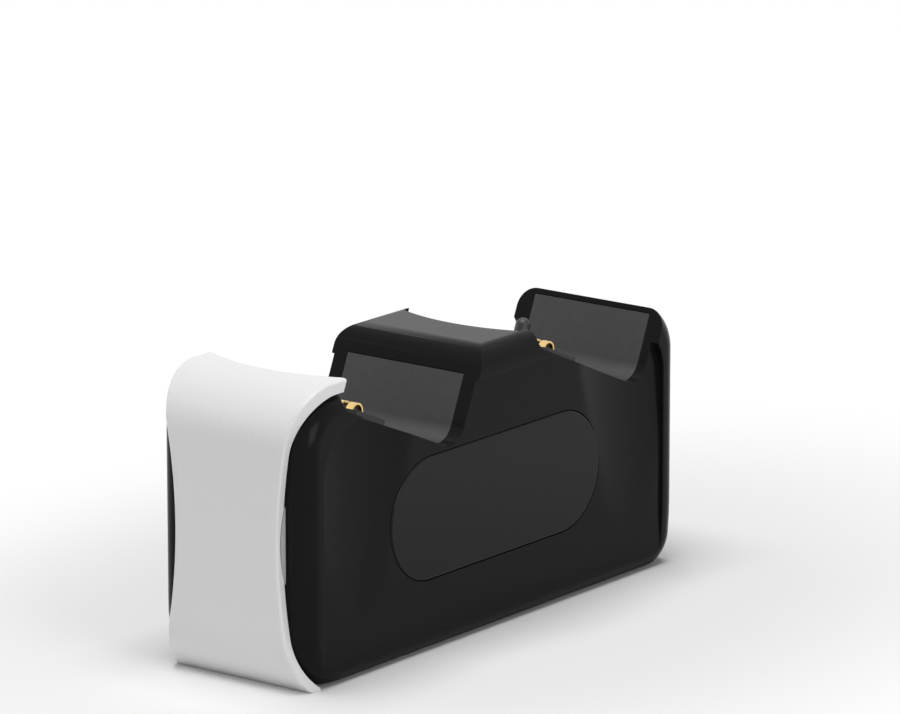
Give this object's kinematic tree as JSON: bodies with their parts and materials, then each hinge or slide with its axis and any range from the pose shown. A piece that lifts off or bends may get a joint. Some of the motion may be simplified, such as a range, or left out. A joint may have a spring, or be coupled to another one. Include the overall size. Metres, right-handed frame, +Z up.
{
  "type": "gamepad charging dock",
  "caption": "Charging dock with two leaning seats one behind the other, a curled white front band and a glossy black housing with flat side panels.",
  "frame": {"origin": "middle of the dock's footprint, on the table that it stands on", "axes": "+Z up, +Y from the front band to the back wall, +X to the right seen from the front"},
  "size_m": [0.0392, 0.132, 0.0644],
  "materials": {
    "band_white": "glossy moulded white plastic",
    "housing_black": "glossy moulded black plastic",
    "panel_black": "polished flat black plastic",
    "base_black": "finely textured black plastic",
    "liner_grey": "soft-touch dark grey plastic",
    "block_black": "fine matte black plastic",
    "contact_gold": "gold-plated spring strip",
    "guide_grey": "milky grey translucent plastic",
    "lamp_white": "light-emitting chip under yellow-white resin",
    "board_green": "green solder mask on glass laminate",
    "chip_black": "moulded epoxy",
    "coil_grey": "ferrite",
    "inlet_steel": "plated sheet steel",
    "lead_grey": "flat insulated lead",
    "ballast_steel": "zinc-plated plate",
    "foot_rubber": "matte rubber",
    "screw_steel": "zinc-plated"
  },
  "bodies": {
    "root": {"front_band": "band_white", "housing": "housing_black", "base_plate": "base_black", "side_panel_left": "panel_black", "side_panel_right": "panel_black", "front_seat": "liner_grey", "rear_seat": "liner_grey", "front_contact_block": "block_black", "rear_contact_block": "block_black", "front_contacts": "contact_gold", "rear_contacts": "contact_gold", "front_contact_board": "board_green", "rear_contact_board": "board_green", "light_guide_left": "guide_grey", "light_guide_right": "guide_grey", "indicator_board": "board_green", "indicator_lamps": "lamp_white", "main_board": "board_green", "charge_chips": "chip_black", "power_coils": "coil_grey", "inlet_shell": "inlet_steel", "inlet_tongue": "chip_black", "front_lead": "lead_grey", "rear_lead": "lead_grey", "indicator_lead": "lead_grey", "ballast_plate": "ballast_steel", "foot_front_left": "foot_rubber", "foot_front_right": "foot_rubber", "foot_rear_left": "foot_rubber", "foot_rear_right": "foot_rubber", "base_screws": "screw_steel", "board_screws": "screw_steel"}
  },
  "joints": []
}
